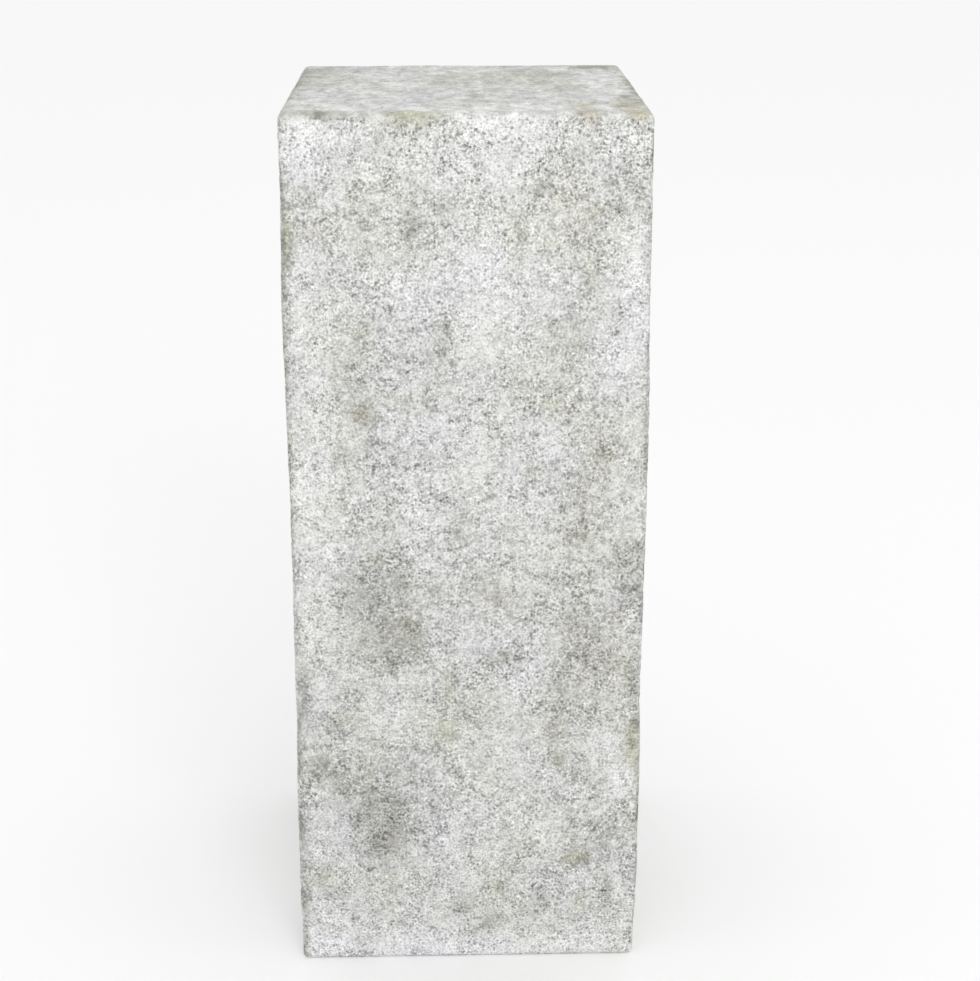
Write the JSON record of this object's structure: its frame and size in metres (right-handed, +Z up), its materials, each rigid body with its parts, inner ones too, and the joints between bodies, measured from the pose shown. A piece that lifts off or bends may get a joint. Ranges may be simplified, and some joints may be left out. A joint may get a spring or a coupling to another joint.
{
  "type": "decorative column",
  "caption": "Plain square display column with a flat top and softly rounded edges, leaning in slightly towards the top, cast as a thin-walled shell open underneath, with a weathered limewashed stone finish.",
  "frame": {"origin": "middle of the underside", "axes": "+Z up the column, -Y out of the front face, +X to the right seen from the front"},
  "size_m": [0.3017, 0.3002, 0.755],
  "materials": {
    "limewashed_cement": "matt, pitted white limewash worn through to grey cement, with grey and olive weather stains"
  },
  "bodies": {
    "root": {"column": "limewashed_cement"}
  },
  "joints": []
}
